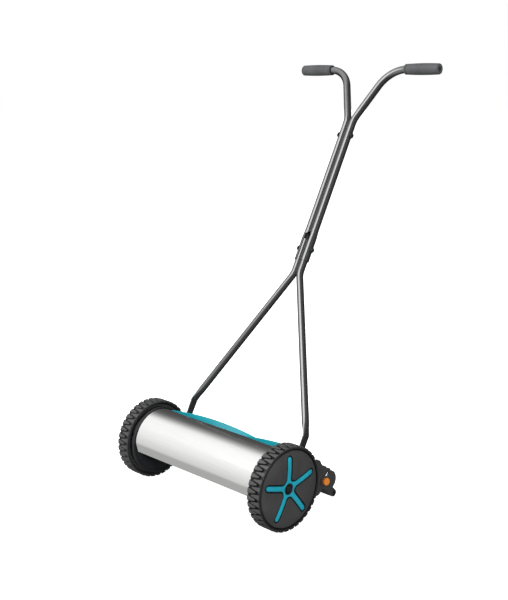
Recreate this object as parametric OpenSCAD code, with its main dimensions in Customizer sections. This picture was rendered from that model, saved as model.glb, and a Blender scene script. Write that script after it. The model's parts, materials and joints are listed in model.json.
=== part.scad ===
// Push reel mower: two geared wheels, a five-blade cutting reel, a bed knife, a bright
// front cover, a height-adjustable rear roller and a two-legged push handle.
// +X is the operator's left, -Y is forward and +Z is up. The origin is on the ground,
// under the centre of the bounding box. Inside the modules Y is measured from the
// wheel axle, and rig() moves everything to the origin.

/* [Wheels] */
// Diameter over the tread lugs
wheel_d = 200; // [198:1:202]
// Distance from the mower's middle plane to a wheel's inner face
wheel_x = 214.9; // [214.6:0.1:215.4]
// Width of the tread
tread_w = 37.4; // [36.8:0.1:38]
// Number of lugs in each of the two rows
lug_count = 36; // [30:2:40]
// Height of a lug
lug_h = 6; // [4:0.5:7]
// Number of coloured arms on the wheel's face
arm_count = 5; // [3:1:7]
// Radius from the wheel's centre to an arm's tip
arm_reach = 78; // [70:1:80]
// Width of an arm
arm_w = 12.4; // [9:0.1:13]
// Radius of the stub axle
axle_r = 8; // [7.5:0.1:8.2]

/* [Gear train] */
// Tooth module of the wheel drive
gear_module = 2; // [1.9:0.05:2]
// Teeth on the ring gear inside a wheel
ring_teeth = 54; // [54:1:54]
// Teeth on the pinion
pinion_teeth = 14; // [14:1:14]
// Flank clearance on each side of a tooth
backlash = 0.12; // [0.08:0.01:0.2]

/* [Reel] */
// Cutting diameter of the reel
reel_d = 141; // [138:1:141]
// Half of the blades' length
reel_half = 193; // [180:1:193]
// Number of reel blades
blade_count = 5; // [5:1:5]
// Depth of a blade
blade_depth = 17; // [12:0.5:18]
// Thickness of a blade
blade_t = 2.6; // [2:0.1:3.5]
// Twist of a blade for each millimetre of length, in degrees
blade_twist = -0.265; // [-0.3:0.001:-0.2]
// Radius of the reel shaft
shaft_r = 6; // [5.8:0.1:6]

/* [Chassis] */
// Inner face of a side plate
plate_x = 200; // [200:0.1:200.5]
// Thickness of a side plate
plate_t = 6; // [5:0.5:6]
// Radius of a round gear cover
gear_cover_r = 86; // [84:1:88]
// Outer radius of the front cover
cover_r = 74; // [73:0.5:75]
// Sheet thickness of the front cover
cover_t = 1.5; // [1:0.1:2]
// Width of the flat lip under the fold
lip_w = 24.8; // [20:0.5:26]

/* [Height adjuster] */
// Diameter of the rear roller
roller_d = 19; // [18:0.5:20]
// Distance from the wheel axle back to the roller
roller_y = 219; // [215:1:222]
// Radius of the arc slot about the height pivot
slot_r = 50; // [49:0.5:51]
// Swing of the height bracket, in degrees
height_swing = 24; // [18:1:24]
// Radius of an orange clamp knob
knob_r = 9.5; // [8:0.5:10]

/* [Handle] */
// Lean of the handle above the horizontal, in degrees
handle_angle = 62.36; // [62:0.01:62.8]
// Diameter of a lower leg tube
leg_d = 18; // [17:0.5:18]
// Diameter of an upper tube
upper_d = 19; // [18:0.5:19]
// Wall of the handle tubes
tube_wall = 1.5; // [1.2:0.1:2]
// Length along the handle to the grips
handle_len = 1047; // [1040:1:1050]
// Half of the width over the grips
grip_reach = 225.3; // [220:0.1:228]
// Largest radius of a grip
grip_r = 14.5; // [14:0.1:15]

/* [Hidden] */
$fn = 64;

black = "#2b2c2e";
dark = "#3a3b3d";
teal = "#1f9aa6";
steel = "#b9bcc0";
paint = "#4a4b4e";
orange = "#e6812a";

wheel_r = wheel_d / 2;
axle = [0, wheel_r];
wheel_end = wheel_x + tread_w;
plate_end = plate_x + plate_t;
gear_cover_t = 6;
gear_cover_end = plate_end + gear_cover_t;
gap = 0.3;
fit = 0.05;

// Wheel section, from the tread inwards
rim_r = wheel_r - 10;
rim_inner_r = rim_r - 6;
face_x = 244.5;
face_bulge = 1.2;
groove_x = 246.4;
hub_r = 15;
bush_r = 10;
recess_r = 11;
groove_gap = 2.3;
bush_x = 218;
bush_end = 244.8;

// Gear train
pitch_ring = gear_module * ring_teeth / 2;
pitch_pinion = gear_module * pinion_teeth / 2;
// The reel shaft sits one ring tooth above the axle's level
drive_turn = 360 / ring_teeth;
shaft = axle + polar(pitch_ring - pitch_pinion, drive_turn);
pressure_angle = 20;
gear_x = 222;
gear_w = 12;
ratchet_w = 8;
ratchet_teeth = 6;
shaft_end = gear_x + gear_w + ratchet_w + 1.2;

// Reel
reel_r = reel_d / 2;
crest_x = 107.5;
spider_x = [-180, -60, 60, 180];

// Front cover, an arc that ends in a flat lip
cover_c = [-4, 108];
cover_top = 67;
cover_fold = 178.1;
lip_angle = -76.5;
flange_in = 12.5;
flange_top = 71;
flange_fold = 176;
cover_x = plate_end - gap;

// Bed knife, its edge just clear of the reel
knife_at = -80;
knife_gap = 0.35;
knife_slope = -8;
knife_w = 36;
knife_t = 3;
knife_edge = shaft + (reel_r + knife_gap) * [cos(knife_at), sin(knife_at)];
adjuster = [86, 34.6];
front_rod = [-45, 78];
rear_rod = [122, 106];
rod_r = 5;

// Height adjuster
height_pivot = [142, 103];
knob_angle = -60;
knob = height_pivot + slot_r * [cos(knob_angle), sin(knob_angle)];
roller = [roller_y, roller_d / 2];
arm_x = 189;
arm_t = 4;
stud_r = 4;
slot_half = stud_r + 0.3;
pivot_r = 5;
cross_bar = [182, 52];
catcher_pin = [128, 66];

// Handle plane
handle_foot = [66.26, 99.76];
handle_dir = [cos(handle_angle), sin(handle_angle)];
handle_up = [-sin(handle_angle), cos(handle_angle)];
pivot_s = 35;
stop_s = 20;
flat_w = 21;
flat_t = 4;
flat_x = 197.5;
kink_s = 97.3;
leg_slope = 26.4;
leg_x = leg_d / 2 + 0.4;
upper_x = upper_d / 2 + 0.4;
split_s = kink_s + (flat_x - leg_x) / tan(leg_slope);
leg_end = 569;
cup_start = 512;
upper_start = 572;
mouth_rise = 20;
cup_end = upper_start + mouth_rise;
top_split = 905;
fork_angle = 24.2;
grip_start = 126.5;
lower_bolt_s = 543.5;
upper_bolt_s = 860;
// A straight run reaches this far into a bend, whose wall is a hair thicker
bend_lap = 0.6;
bend_skin = 0.03;
handle_pivot = handle_foot + pivot_s * handle_dir;
stop_pin = handle_foot + stop_s * handle_dir + (flat_w / 2 + 4 + 0.1) * handle_up;

// The rearmost point is a grip's skin and the foremost one is the tread
rear_y = handle_foot[0] + handle_len * handle_dir[0] + grip_r;
axle_y = (wheel_r - rear_y) / 2;

function polar(r, a) = r * [cos(a), sin(a)];
function involute(a) = tan(a) * 180 / PI - a;
function left_of(v) = [-v[1], v[0]];
function unit(v) = v / norm(v);
function angle_of(v) = atan2(v[1], v[0]);

// Half of a tooth's angle at radius r
function tooth_half(teeth, r, extra) = let (
    pitch = gear_module * teeth / 2,
    base = pitch * cos(pressure_angle),
    at = max(r, base))
    90 / teeth + extra / pitch * 180 / PI + involute(pressure_angle)
        - involute(acos(base / at));

// Outline of a gear whose teeth run from r_in to r_out
function gear_outline(teeth, r_in, r_out, extra, steps) = [
    for (i = [0:teeth - 1])
        for (side = [-1, 1])
            for (k = [0:steps])
                let (t = side < 0 ? k / steps : 1 - k / steps,
                    r = r_in + t * (r_out - r_in))
                polar(r, 360 * i / teeth + side * tooth_half(teeth, r, extra))];

// Saw-tooth outline of the one-way ratchet
function ratchet_outline(r_in, r_out) = [
    for (i = [0:ratchet_teeth - 1])
        for (p = [[r_in, 0], [r_out, 4], [r_out, 30]])
            polar(p[0], 360 * i / ratchet_teeth + p[1])];

// Scalloped outline of one row of tread lugs
function lug_outline(turn) = [
    for (i = [0:lug_count - 1])
        for (p = [[wheel_r - lug_h, -0.36], [wheel_r, -0.27], [wheel_r, 0.27],
                [wheel_r - lug_h, 0.36]])
            polar(p[0], turn + 360 * (i + p[1]) / lug_count)];

module rig() translate([0, axle_y, 0]) children();

module mirrored(side) {
    if (side > 0) children();
    else mirror([1, 0, 0]) children();
}

// Extrudes an outline drawn in Y and Z along X
module along_x(x, length) translate([x, 0, 0]) rotate([90, 0, 90])
    linear_extrude(length) children();

module at(p) translate([p[0], p[1]]) children();

module rod_x(p, x, length, r) along_x(x, length) at(p) circle(r);

// Turns a profile drawn as radius and X about an axis along X
module about_x(p) translate([0, p[0], p[1]]) rotate([0, 90, 0])
    rotate_extrude() children();

// Two circles and the band between them, whose corners lie a hair inside the circles
module capsule(p, rp, q, rq) {
    turn = acos((rp - rq) / norm(q - p));
    a = angle_of(q - p);
    inside = 0.99;
    at(p) circle(rp);
    at(q) circle(rq);
    polygon([p + polar(inside * rp, a + turn), p + polar(inside * rp, a - turn),
        q + polar(inside * rq, a - turn), q + polar(inside * rq, a + turn)]);
}

module wedge(from, to, reach) {
    middle = (from + to) / 2;
    polygon([[0, 0], polar(reach, from), polar(reach, middle), polar(reach, to)]);
}

module ring_sector(r_in, r_out, from, to) intersection() {
    difference() {
        circle(r_out, $fn = 96);
        circle(r_in, $fn = 96);
    }
    wedge(from, to, 2 * r_out);
}

// A countersunk or flat screw along X, its head towards +X
module screw_x(p, head_x, head_r, head_t, shank_r, length) {
    rod_x(p, head_x, head_t, head_r);
    rod_x(p, head_x - length, length, shank_r);
}

// ---------------------------------------------------------------- chassis

module side_plate_outline() {
    at([0, 104]) circle(54);
    capsule(axle, 40, shaft, 34);
    capsule(shaft, 34, handle_pivot, 14);
    capsule(shaft, 30, height_pivot, 16);
    capsule(shaft, 30, adjuster, 13);
    polygon([shaft, [80, 19], [144, 28], height_pivot]);
    at([146, 39]) circle(11);
    at(height_pivot) {
        wedge(-86, -34, slot_r + 4);
        ring_sector(slot_r - 16, slot_r + 16, -88, -32);
    }
    at([187, 55]) circle(25);
    for (p = [[153, 97.5], [168, 87.5], [183, 78]]) at(p) circle(9.5);
}

module height_slot() at(height_pivot) {
    end = knob_angle + height_swing + 1;
    ring_sector(slot_r - slot_half, slot_r + slot_half, knob_angle, end);
    for (a = [knob_angle, end]) at(polar(slot_r, a)) circle(slot_half + fit);
}

module side_plate(side) rig() color(black) mirrored(side)
    along_x(plate_x, plate_t) difference() {
        side_plate_outline();
        height_slot();
        at(axle) circle(axle_r + fit);
        at(shaft) circle(11 + fit);
        at(handle_pivot) circle(4 + fit);
        at(height_pivot) circle(pivot_r + fit);
        at(adjuster) circle(4 + fit);
    }

module gear_cover(side) rig() color(black) mirrored(side)
    along_x(plate_end, gear_cover_t) difference() {
        at(axle) circle(gear_cover_r, $fn = 96);
        at(axle) circle(axle_r + fit);
        at(shaft) circle(11 + fit);
        at(handle_pivot) circle(10);
    }

module wheel_axles() rig() color(steel) for (side = [-1, 1]) mirrored(side) {
    rod_x(axle, plate_x - 4, 4, 15);
    rod_x(axle, plate_x, 45, axle_r);
    rod_x(axle, gear_cover_end + 0.1, bush_x - gear_cover_end - 0.3, 13);
}

module axle_retainers() rig() color(steel) for (side = [-1, 1]) mirrored(side) {
    rod_x(axle, 245, 1.2, 9.5);
    along_x(246.2, 3.4) at(axle) circle(6.4, $fn = 6);
}

function cover_point(r, a) = cover_c + polar(r, a);

module cover_outline() {
    fold = cover_point(cover_r, cover_fold);
    lip = fold + polar(lip_w, lip_angle);
    inwards = cover_t * left_of(polar(1, lip_angle));
    at(cover_c) ring_sector(cover_r - cover_t, cover_r, cover_top, cover_fold);
    polygon([fold, lip, lip + inwards, fold + inwards + [0, 0.4]]);
}

module front_cover() rig() color("#c9ccd0") {
    along_x(-cover_x, 2 * cover_x) cover_outline();
    for (side = [-1, 1]) mirrored(side) along_x(cover_x - cover_t, cover_t)
        at(cover_c) ring_sector(cover_r - flange_in, cover_r - 1, flange_top, flange_fold);
}

module cover_screws() rig() color(steel) for (side = [-1, 1]) mirrored(side) {
    for (a = [80, 121, 162])
        mirror([1, 0, 0]) screw_x(cover_point(cover_r - 7, a), 1.9 - cover_x, 4, 2, 2, 7);
    for (a = [100, 190, 260])
        screw_x(axle + polar(44, a), gear_cover_end, 4.5, 1.6, 2.5, 9);
}

module knife_place() translate([0, knife_edge[0], knife_edge[1]])
    rotate([knife_slope, 0, 0]) children();

module bed_knife() rig() color(steel) knife_place()
    along_x(-reel_half, 2 * reel_half)
        polygon([[0, 0], [knife_w, 0], [knife_w, -knife_t], [3, -knife_t], [0, -0.8]]);

module knife_carrier() rig() color(black) knife_place()
    along_x(gap - plate_x, 2 * (plate_x - gap))
        polygon([[16, 0.02], [16, 3], [27, 10], [42, 12], [42, 0.02]]);

module knife_screws() rig() color(steel) knife_place()
    for (x = [-160:80:160]) translate([x, 27, -knife_t - 1.4]) {
        cylinder(r = 4.5, h = 1.4);
        cylinder(r = 2.5, h = 9);
    }

module knife_adjusters() rig() color(steel) for (side = [-1, 1]) mirrored(side) {
    along_x(plate_end, 4) at(adjuster) circle(7, $fn = 6);
    rod_x(adjuster, plate_end - 14, 14, 4);
}

module tie_rods() rig() color(paint) for (p = [front_rod, rear_rod])
    rod_x(p, 0.05 - plate_x, 2 * plate_x - 0.1, rod_r);

module tie_rod_screws() rig() color(steel) for (side = [-1, 1]) mirrored(side)
    for (p = [front_rod, rear_rod]) screw_x(p, plate_end - 2, 5, 2, 2.5, 20);

module reel_bearings() rig() color("#a9793c") for (side = [-1, 1]) mirrored(side)
    about_x(shaft) polygon([[shaft_r + fit, plate_x - 2.5], [14, plate_x - 2.5],
        [14, plate_x], [11, plate_x], [11, gear_cover_end + 1],
        [shaft_r + fit, gear_cover_end + 1]]);

module handle_pivot_bolts() rig() color(steel) for (side = [-1, 1]) mirrored(side) {
    rod_x(handle_pivot, 194.2, 1.1, 8);
    rod_x(handle_pivot, 195.3, plate_end - 195.3, 4);
    along_x(plate_end, 4) at(handle_pivot) circle(7, $fn = 6);
}

module handle_stops() rig() color(steel) for (side = [-1, 1]) mirrored(side)
    rod_x(stop_pin, 195.5, plate_x - 195.5 + 4, 4);

module height_pivot_bolts() rig() color(steel) for (side = [-1, 1]) mirrored(side) {
    rod_x(height_pivot, arm_x - 3.3, 3, 8);
    rod_x(height_pivot, arm_x - 0.3, plate_end - arm_x + 0.3, pivot_r);
    along_x(plate_end, 5) at(height_pivot) circle(8, $fn = 6);
}

module catcher_pins() rig() color(steel) for (side = [-1, 1]) mirrored(side) {
    rod_x(catcher_pin, plate_end, 12, 4);
    rod_x(catcher_pin, plate_end - 4, 4, 2.5);
}

// ---------------------------------------------------------------- wheels

module star_outline(grow) at(axle) {
    circle(17 + grow);
    for (i = [0:arm_count - 1]) {
        a = 91 + 360 * i / arm_count;
        tip = arm_reach - arm_w / 2;
        capsule([0, 0], arm_w / 2 + grow, polar(tip, a), arm_w / 2 - 0.01 + grow);
    }
}

module wheel_rim(side) rig() color(dark) mirrored(side) difference() {
    about_x(axle) polygon([[bush_r, bush_x], [hub_r, bush_x], [hub_r, face_x],
        [rim_inner_r, face_x], [rim_inner_r, wheel_x + 1], [rim_r, wheel_x + 1],
        [rim_r, wheel_end - 2.2], [rim_r - 4, wheel_end - 0.6], [60, wheel_end + face_bulge],
        [20, wheel_end - 2.6], [recess_r, wheel_end - 3], [recess_r, groove_x],
        [bush_r, groove_x]]);
    along_x(groove_x, 10) difference() {
        star_outline(groove_gap);
        at(axle) circle(recess_r + 2);
    }
}

module tyre(side) rig() color(black) mirrored(side) {
    half = tread_w / 2 - 0.6;
    difference() {
        union() {
            along_x(wheel_x, half) at(axle) polygon(lug_outline(-90));
            along_x(wheel_x + half, 1.2) at(axle) circle(wheel_r - lug_h - 0.02, $fn = 96);
            along_x(wheel_x + half + 1.2, half) at(axle) polygon(lug_outline(-85));
        }
        along_x(wheel_x - 1, tread_w + 2) at(axle) circle(rim_r, $fn = 96);
    }
}

module ring_gear(side) rig() color(black) mirrored(side) {
    along_x(gear_x, gear_w) at(axle) difference() {
        circle(pitch_ring + 7, $fn = 96);
        polygon(gear_outline(ring_teeth, pitch_ring - 1.3, pitch_ring + 2.5, backlash, 3));
    }
    along_x(gear_x + gear_w, face_x - gear_x - gear_w) at(axle) difference() {
        circle(pitch_ring + 7, $fn = 96);
        circle(pitch_ring + 3, $fn = 96);
    }
}

module star(side) rig() color(teal) mirrored(side) along_x(groove_x, 2.6) difference() {
    star_outline(0);
    at(axle) circle(recess_r + 2.1);
}

module hub_cap(side) rig() color(black) mirrored(side) about_x(axle)
    polygon([[0, 250.6], [7.2, 250.6], [7.2, groove_x + 0.2], [recess_r, groove_x + 0.2],
        [recess_r, 247.8], [8.4, 247.8], [8.2, 250.4], [6.5, 251.8], [0, 251.8]]);

module wheel_bush(side) rig() color("#d8d4c8") mirrored(side) about_x(axle)
    polygon([[axle_r + fit, bush_x], [bush_r, bush_x], [bush_r, bush_end],
        [axle_r + fit, bush_end]]);

// ---------------------------------------------------------------- drive

module pinion(side) rig() color("#cfc9b8") mirrored(side) {
    along_x(gear_x, gear_w) at(shaft) difference() {
        rotate(drive_turn)
            polygon(gear_outline(pinion_teeth, pitch_pinion - 2.1, pitch_pinion + 1.6,
                -backlash, 5));
        circle(shaft_r + fit);
    }
    along_x(gear_cover_end + 1.3, gear_x - gear_cover_end - 1.3) at(shaft) difference() {
        circle(9);
        circle(shaft_r + fit);
    }
    along_x(gear_x + gear_w, ratchet_w - 0.2) at(shaft) difference() {
        circle(13.2);
        polygon(ratchet_outline(8.8, 11.2));
    }
}

// The left pawl is out in a tooth gap, the right one is drawn in
function pawl_tip(side) = side > 0 ? 10.6 : 8.2;

module pawl_slot(grow, tip) at(shaft) rotate(15)
    translate([(tip - 5) / 2, 0]) square([tip + 5 + 2 * grow, 3 + 2 * grow], center = true);

module ratchet_pawls() rig() color(steel) for (side = [-1, 1]) mirrored(side)
    along_x(gear_x + gear_w + 0.6, 6.4) pawl_slot(0, pawl_tip(side));

module reel_shaft() rig() color(steel) difference() {
    union() {
        rod_x(shaft, -shaft_end, 2 * shaft_end, shaft_r);
        for (side = [-1, 1]) mirrored(side) rod_x(shaft, reel_half + 0.6, 3.4, 9);
    }
    for (side = [-1, 1]) mirrored(side)
        along_x(gear_x + gear_w + 0.5, 6.6) pawl_slot(0.1, 12);
}

module pinion_clips() rig() color(steel) for (side = [-1, 1]) mirrored(side)
    along_x(gear_x + gear_w + ratchet_w, 1) at(shaft) difference() {
        circle(8.4);
        circle(shaft_r);
    }

// Direction of blade i at position x
function blade_angle(i, x) = 90 + blade_twist * (x - crest_x) + 360 * i / blade_count;

module reel_spiders() rig() color(steel) for (x = spider_x)
    along_x(x - 1.5, 3) at(shaft) difference() {
        union() {
            circle(20);
            for (i = [1:blade_count]) rotate(blade_angle(i, x))
                translate([0, -7]) square([reel_r - blade_depth + 3, 14]);
        }
        circle(shaft_r);
    }

module reel_blade(i) rig() color(teal) translate([-reel_half, shaft[0], shaft[1]])
    rotate([90, 0, 90]) rotate(blade_angle(i, -reel_half))
        linear_extrude(2 * reel_half, twist = -2 * reel_half * blade_twist, slices = 36,
            segments = 5)
            translate([reel_r - blade_depth, -blade_t / 2])
                polygon([[0, 0], [blade_depth - 0.3, 0], [blade_depth, 0.5],
                    [blade_depth - 0.3, blade_t], [0, blade_t]]);

// ---------------------------------------------------------------- height adjuster

module height_arm(side) rig() color(black) mirrored(side) difference() {
    union() {
        along_x(arm_x, arm_t) {
            capsule(height_pivot, 13, knob, 12);
            capsule(knob, 12, roller, roller_d / 2);
        }
        rod_x(height_pivot, arm_x, plate_x - gap - arm_x, 9);
        rod_x(knob, arm_x, plate_x - gap - arm_x, 8);
    }
    rod_x(height_pivot, arm_x - 1, 20, pivot_r + fit);
    rod_x(knob, arm_x - 1, 20, stud_r + fit);
    rod_x(roller, arm_x - 1, 20, 4);
}

module height_cross_bar() rig() color(paint) rod_x(cross_bar, 0 - arm_x, 2 * arm_x, 6);

module roller_axle() rig() color(steel) {
    rod_x(roller, -arm_x - arm_t, 2 * (arm_x + arm_t), 4);
    for (side = [-1, 1]) mirrored(side) rod_x(roller, arm_x + arm_t, 2, 7);
}

module roller_tube() rig() color(black) along_x(0.6 - arm_x, 2 * arm_x - 1.2) at(roller)
    difference() {
        circle(roller_d / 2);
        circle(roller_d / 2 - 2);
    }

module roller_bushes() rig() color(steel) for (side = [-1, 1]) mirrored(side)
    along_x(arm_x - 13, 12) at(roller) difference() {
        circle(roller_d / 2 - 2);
        circle(4 + fit);
    }

module height_knob(side) rig() color(orange) mirrored(side)
    along_x(plate_end + 3, 10) at(knob) difference() {
        circle(knob_r);
        for (i = [0:7]) at(polar(knob_r + 1.6, 45 * i)) circle(2.4);
    }

module knob_stud(side) rig() color(dark) mirrored(side) {
    rod_x(knob, plate_end + 0.2, 2.8, 12);
    rod_x(knob, arm_x - 4, plate_end + 0.2 - arm_x + 4, stud_r);
}

// ---------------------------------------------------------------- handle

module handle_place() translate([0, handle_foot[0], handle_foot[1]])
    rotate([handle_angle, 0, 0]) children();

// A straight tube between two points of the handle plane
module tube_run(p, q, r, bore) translate([p[0], p[1], 0])
    rotate([0, 0, angle_of(q - p)]) rotate([0, 90, 0])
        linear_extrude(norm(q - p)) difference() {
            circle(r);
            circle(bore);
        }

// A tube along a path in the handle plane, bent at each inner corner
module bent_tube(path, bends, r, bore) {
    last = len(path) - 1;
    function way(i) = unit(path[i + 1] - path[i]);
    function turn(i) = let (a = way(i - 1), b = way(i)) asin(a[0] * b[1] - a[1] * b[0]);
    function setback(i) = i == 0 || i == last ? 0 : bends[i - 1] * tan(abs(turn(i)) / 2);
    function inset(i) = i == 0 || i == last ? 0 : setback(i) - bend_lap;
    for (i = [0:last - 1])
        tube_run(path[i] + inset(i) * way(i), path[i + 1] - inset(i + 1) * way(i),
            r, bore);
    for (i = [1:last - 1]) {
        hand = sign(turn(i));
        start = path[i] - setback(i) * way(i - 1);
        centre = start + hand * bends[i - 1] * left_of(way(i - 1));
        from = hand > 0 ? angle_of(-left_of(way(i - 1))) : angle_of(left_of(way(i)));
        translate([centre[0], centre[1], 0]) rotate([0, 0, from])
            rotate_extrude(angle = abs(turn(i))) translate([bends[i - 1], 0])
                difference() {
                    circle(r + bend_skin);
                    circle(bore - bend_skin);
                }
    }
}

module bolt_hole(s) translate([-1, s, 0]) rotate([0, 90, 0]) cylinder(r = 3.1, h = 40);

module leg(side) rig() color(paint) mirrored(side) handle_place() {
    slope = [-sin(leg_slope), cos(leg_slope)];
    kink = [flat_x, kink_s];
    start = kink + 16 * slope;
    difference() {
        union() {
            hull() {
                translate([flat_x - flat_t / 2, kink_s - 12, -flat_w / 2])
                    cube([flat_t, 1, flat_w]);
                tube_run(start, start + 4 * slope, leg_d / 2 - 0.4, 0.1, $fn = 32);
            }
            translate([flat_x - flat_t / 2, stop_s, -flat_w / 2])
                cube([flat_t, kink_s - 11.5 - stop_s, flat_w]);
            translate([flat_x - flat_t / 2, stop_s, 0]) rotate([0, 90, 0])
                cylinder(r = flat_w / 2, h = flat_t);
            bent_tube([start, [leg_x, split_s], [leg_x, leg_end]], [45],
                leg_d / 2, leg_d / 2 - tube_wall);
        }
        translate([flat_x - 5, pivot_s, 0]) rotate([0, 90, 0])
            cylinder(r = 4 + fit, h = 10);
        bolt_hole(lower_bolt_s);
    }
}

// A channel that wraps the outer side of a leg, then the tube it opens into
module upper_tube(side) rig() color(paint) mirrored(side) handle_place() difference() {
    r = upper_d / 2;
    corner_x = upper_x + (handle_len - top_split) * tan(fork_angle);
    union() {
        difference() {
            bent_tube([[upper_x, upper_start], [upper_x, top_split],
                [corner_x, handle_len], [grip_reach - 4, handle_len]], [60, 80],
                r, r - tube_wall);
            translate([upper_x + r, upper_start, -20])
                rotate(90 + atan(upper_d / mouth_rise)) cube([60, 60, 40]);
        }
        translate([upper_x, cup_start, 0]) rotate([-90, 0, 0]) rotate([0, 0, -84])
            rotate_extrude(angle = 168) translate([9.3, 0])
                square([1.7, cup_end - cup_start]);
    }
    bolt_hole(lower_bolt_s);
    bolt_hole(upper_bolt_s);
}

module grip(side) rig() color("#55585b") mirrored(side) handle_place()
    translate([0, handle_len, 0]) rotate([0, 90, 0]) rotate_extrude()
        polygon([[upper_d / 2 + 0.02, grip_start - 3], [13.4, grip_start - 3],
            [13.4, grip_start + 1], [12.4, grip_start + 2.5], [13.7, grip_start + 20],
            [grip_r, grip_start + 50], [13.7, grip_reach - 20], [12.6, grip_reach - 2],
            [11.4, grip_reach], [5, grip_reach], [5, grip_reach - 3.8],
            [upper_d / 2 + 0.02, grip_reach - 3.8]]);

// A dome of radius r and height h, its flat side at x
module dome(x, r, h) translate([x, 0, 0]) rotate([0, 90, 0])
    rotate_extrude() polygon([[0, 0], [r, 0], [r, h * 0.35], [r * 0.72, h * 0.85],
        [r * 0.3, h], [0, h]]);

// Outer side of the pair of tubes where each bolt sits
bolt_seats = [[lower_bolt_s, upper_x + 11], [upper_bolt_s, upper_x + upper_d / 2]];

module handle_bolts() rig() color(steel) handle_place() for (b = bolt_seats)
    translate([0, b[0], 0]) {
        dome(b[1], 7, 5.4);
        rotate([0, 90, 0]) translate([0, 0, -b[1] - 3]) cylinder(r = 3, h = 2 * b[1] + 3.1);
    }

module handle_nuts() rig() color(steel) handle_place() for (b = bolt_seats)
    translate([0, b[0], 0]) mirror([1, 0, 0]) difference() {
        dome(b[1], 6.5, 5.4);
        rotate([0, 90, 0]) cylinder(r = 3, h = b[1] + 3);
    }

// ---------------------------------------------------------------- sub-parts

module side_plate_left() side_plate(1);
module side_plate_right() side_plate(-1);
module gear_cover_left() gear_cover(1);
module gear_cover_right() gear_cover(-1);
module wheel_rim_left() wheel_rim(1);
module tyre_left() tyre(1);
module ring_gear_left() ring_gear(1);
module star_left() star(1);
module hub_cap_left() hub_cap(1);
module wheel_bush_left() wheel_bush(1);
module wheel_rim_right() wheel_rim(-1);
module tyre_right() tyre(-1);
module ring_gear_right() ring_gear(-1);
module star_right() star(-1);
module hub_cap_right() hub_cap(-1);
module wheel_bush_right() wheel_bush(-1);
module pinion_left() pinion(1);
module pinion_right() pinion(-1);
module reel_blade_1() reel_blade(1);
module reel_blade_2() reel_blade(2);
module reel_blade_3() reel_blade(3);
module reel_blade_4() reel_blade(4);
module reel_blade_5() reel_blade(5);
module height_arm_left() height_arm(1);
module height_arm_right() height_arm(-1);
module height_knob_left() height_knob(1);
module height_knob_right() height_knob(-1);
module knob_stud_left() knob_stud(1);
module knob_stud_right() knob_stud(-1);
module leg_left() leg(1);
module leg_right() leg(-1);
module upper_tube_left() upper_tube(1);
module upper_tube_right() upper_tube(-1);
module grip_left() grip(1);
module grip_right() grip(-1);

side_plate_left();
side_plate_right();
gear_cover_left();
gear_cover_right();
wheel_axles();
axle_retainers();
front_cover();
cover_screws();
bed_knife();
knife_carrier();
knife_screws();
knife_adjusters();
tie_rods();
tie_rod_screws();
reel_bearings();
handle_pivot_bolts();
handle_stops();
height_pivot_bolts();
catcher_pins();
wheel_rim_left();
tyre_left();
ring_gear_left();
star_left();
hub_cap_left();
wheel_bush_left();
wheel_rim_right();
tyre_right();
ring_gear_right();
star_right();
hub_cap_right();
wheel_bush_right();
pinion_left();
pinion_right();
reel_shaft();
reel_spiders();
reel_blade_1();
reel_blade_2();
reel_blade_3();
reel_blade_4();
reel_blade_5();
ratchet_pawls();
pinion_clips();
height_arm_left();
height_arm_right();
height_cross_bar();
roller_axle();
roller_tube();
roller_bushes();
height_knob_left();
height_knob_right();
knob_stud_left();
knob_stud_right();
leg_left();
leg_right();
upper_tube_left();
upper_tube_right();
grip_left();
grip_right();
handle_bolts();
handle_nuts();
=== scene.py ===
"""The looks of a push reel mower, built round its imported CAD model.

Shapes are worked out in millimetres: X across the mower, Y back from the wheel axle
and Z up from the ground. world() turns them into the frame's metres.
"""

import json
import math

import bmesh
import bpy
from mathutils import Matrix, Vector

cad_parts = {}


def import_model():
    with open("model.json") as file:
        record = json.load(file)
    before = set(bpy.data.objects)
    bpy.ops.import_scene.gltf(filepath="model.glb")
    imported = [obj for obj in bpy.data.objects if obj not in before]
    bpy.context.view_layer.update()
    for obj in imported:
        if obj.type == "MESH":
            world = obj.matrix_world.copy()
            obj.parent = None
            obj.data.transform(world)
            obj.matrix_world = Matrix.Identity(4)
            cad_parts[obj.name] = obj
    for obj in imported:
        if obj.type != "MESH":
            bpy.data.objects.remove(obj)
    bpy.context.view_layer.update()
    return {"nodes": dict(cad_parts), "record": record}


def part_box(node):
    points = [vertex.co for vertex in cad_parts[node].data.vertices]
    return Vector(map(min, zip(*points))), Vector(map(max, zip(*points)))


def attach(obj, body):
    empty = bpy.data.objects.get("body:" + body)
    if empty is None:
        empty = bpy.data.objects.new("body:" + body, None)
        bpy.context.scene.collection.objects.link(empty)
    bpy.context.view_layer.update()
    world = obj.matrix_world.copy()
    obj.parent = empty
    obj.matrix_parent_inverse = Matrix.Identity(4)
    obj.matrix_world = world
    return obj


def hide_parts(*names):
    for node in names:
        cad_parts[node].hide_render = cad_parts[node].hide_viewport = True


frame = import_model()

MM = 0.001


# ------------------------------------------------------------------ places and sizes

def middle(node):
    low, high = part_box(node)
    return (low + high) / 2


def high_x(node):
    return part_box(node)[1].x / MM


def low_x(node):
    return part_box(node)[0].x / MM


# The axle's place along Y stays in metres, because world() adds it last
AXLE_Y = middle("hub_cap_left").y
AXLE_Z = middle("hub_cap_left").z / MM
SIDES = {"left": 1, "right": -1}

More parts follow.
